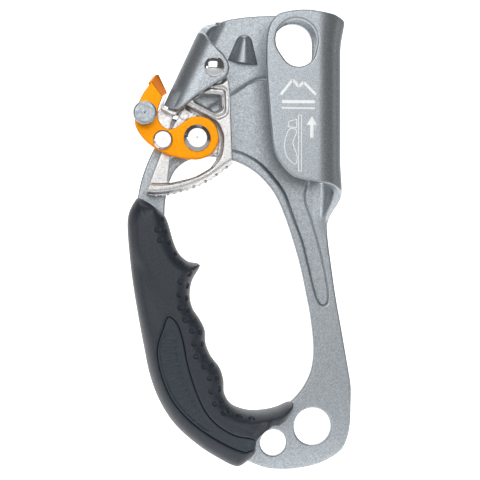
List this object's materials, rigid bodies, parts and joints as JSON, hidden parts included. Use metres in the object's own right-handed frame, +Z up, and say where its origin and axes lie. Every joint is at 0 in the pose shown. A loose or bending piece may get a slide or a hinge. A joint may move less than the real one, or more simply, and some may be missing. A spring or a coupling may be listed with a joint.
{
  "type": "handled rope ascender",
  "caption": "Handled rope ascender: folded sheet frame with a rope channel, rubber grip, toothed cam and a thumb-operated cam latch, shown with the cam locked open.",
  "frame": {"origin": "on the axis of the rope channel, at the height of the cam's pivot", "axes": "+Z up along the rope, +X from the cam towards the rope's fold, +Y away from the side where the cam is seen"},
  "size_m": [0.0939, 0.0352, 0.1901],
  "materials": {
    "frame_paint": "fine metallic grey coat",
    "grip_rubber": "matte, fine grain",
    "inlay_plastic": "satin",
    "bright_steel": "polished",
    "shim_plastic": "satin",
    "spring_steel": "drawn wire",
    "cast_steel": "fine cast, bright plated",
    "bush_brass": "turned",
    "orange_aluminium": "satin anodised orange",
    "catch_steel": "satin sheet",
    "grey_aluminium": "satin anodised grey"
  },
  "bodies": {
    "frame": {"frame_plate": "frame_paint", "grip": "grip_rubber", "inlay_front": "inlay_plastic", "inlay_back": "inlay_plastic", "cam_axle": "bright_steel", "axle_washer": "bright_steel", "hub_shim_front": "shim_plastic", "hub_shim_rear": "shim_plastic", "cam_spring": "spring_steel"},
    "cam": {"cam": "cast_steel", "cam_bush": "bush_brass", "lever_rivet": "bright_steel", "lever_spring": "spring_steel"},
    "lever": {"lever": "orange_aluminium", "lever_bush": "bush_brass", "catch_plate": "catch_steel", "catch_stud": "bright_steel", "thumb_knob": "grey_aluminium", "knob_washer": "catch_steel"}
  },
  "joints": [
    {"name": "cam_swing", "type": "hinge", "parent": "frame", "child": "cam", "pos_m": [-0.0425, 0, 0], "axis": [0, -1, 0], "range_deg": [0, 68], "deforming": ["cam_spring"]},
    {"name": "lever_swing", "type": "hinge", "parent": "cam", "child": "lever", "pos_m": [-0.0492, 0, -0.0288], "axis": [0, -1, 0], "range_deg": [0, 20], "stiffness_Nm_per_rad": 0.06, "springref_deg": -22.92, "deforming": ["lever_spring"]}
  ]
}
